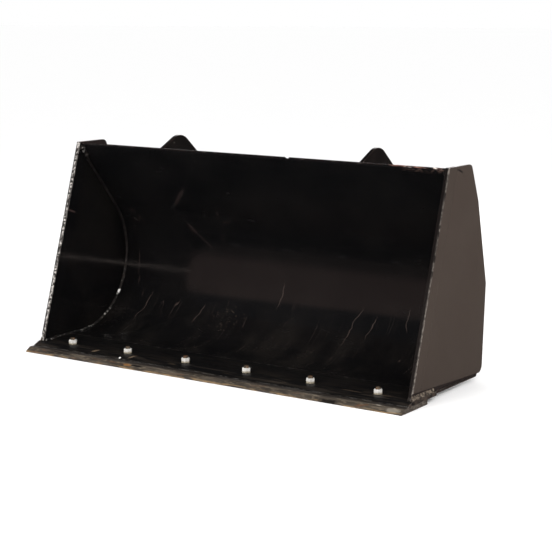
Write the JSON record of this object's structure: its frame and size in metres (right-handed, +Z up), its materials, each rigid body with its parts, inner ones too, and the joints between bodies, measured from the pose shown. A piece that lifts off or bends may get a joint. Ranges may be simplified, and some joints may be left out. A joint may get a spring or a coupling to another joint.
{
  "type": "skid steer bucket",
  "caption": "Loader bucket with a rolled back, side plates, a bolt-on cutting edge and a quick-attach frame behind.",
  "frame": {"origin": "centre of the bucket's footprint, on the ground under the cutting edge and skid bars", "axes": "+X across the bucket towards the right side plate seen from the front, +Y from the mouth to the quick-attach frame, +Z up"},
  "size_m": [1.829, 0.747, 0.9128],
  "materials": {
    "body_paint": "gloss black, scratched",
    "side_paint": "satin, dusty",
    "worn_edge": "worn bright, pitted",
    "base_edge_steel": "black paint worn along the front",
    "cutting_edge_steel": "worn, rust stained",
    "bolt_steel": "rusty",
    "zinc_plate": "zinc plated"
  },
  "bodies": {
    "root": {"wrapper_sheet": "body_paint", "side_plate_left": "side_paint", "side_plate_right": "side_paint", "side_edge_bar_left": "worn_edge", "side_edge_bar_right": "worn_edge", "top_lip_bar": "body_paint", "base_edge": "base_edge_steel", "bolt_on_edge": "cutting_edge_steel", "plow_bolts": "bolt_steel", "hex_nuts": "zinc_plate", "heel_runner_left": "body_paint", "heel_runner_right": "body_paint", "skid_bar_outer_left": "body_paint", "skid_bar_outer_right": "body_paint", "skid_bar_inner_left": "body_paint", "skid_bar_inner_right": "body_paint", "coupler_plate": "body_paint", "coupler_hook_lip": "body_paint", "coupler_pin_flange": "body_paint", "coupler_end_plate_left": "body_paint", "coupler_end_plate_right": "body_paint", "coupler_rib_left": "body_paint", "coupler_rib_center": "body_paint", "coupler_rib_right": "body_paint", "ear_gusset_left": "body_paint", "ear_gusset_right": "body_paint"}
  },
  "joints": []
}
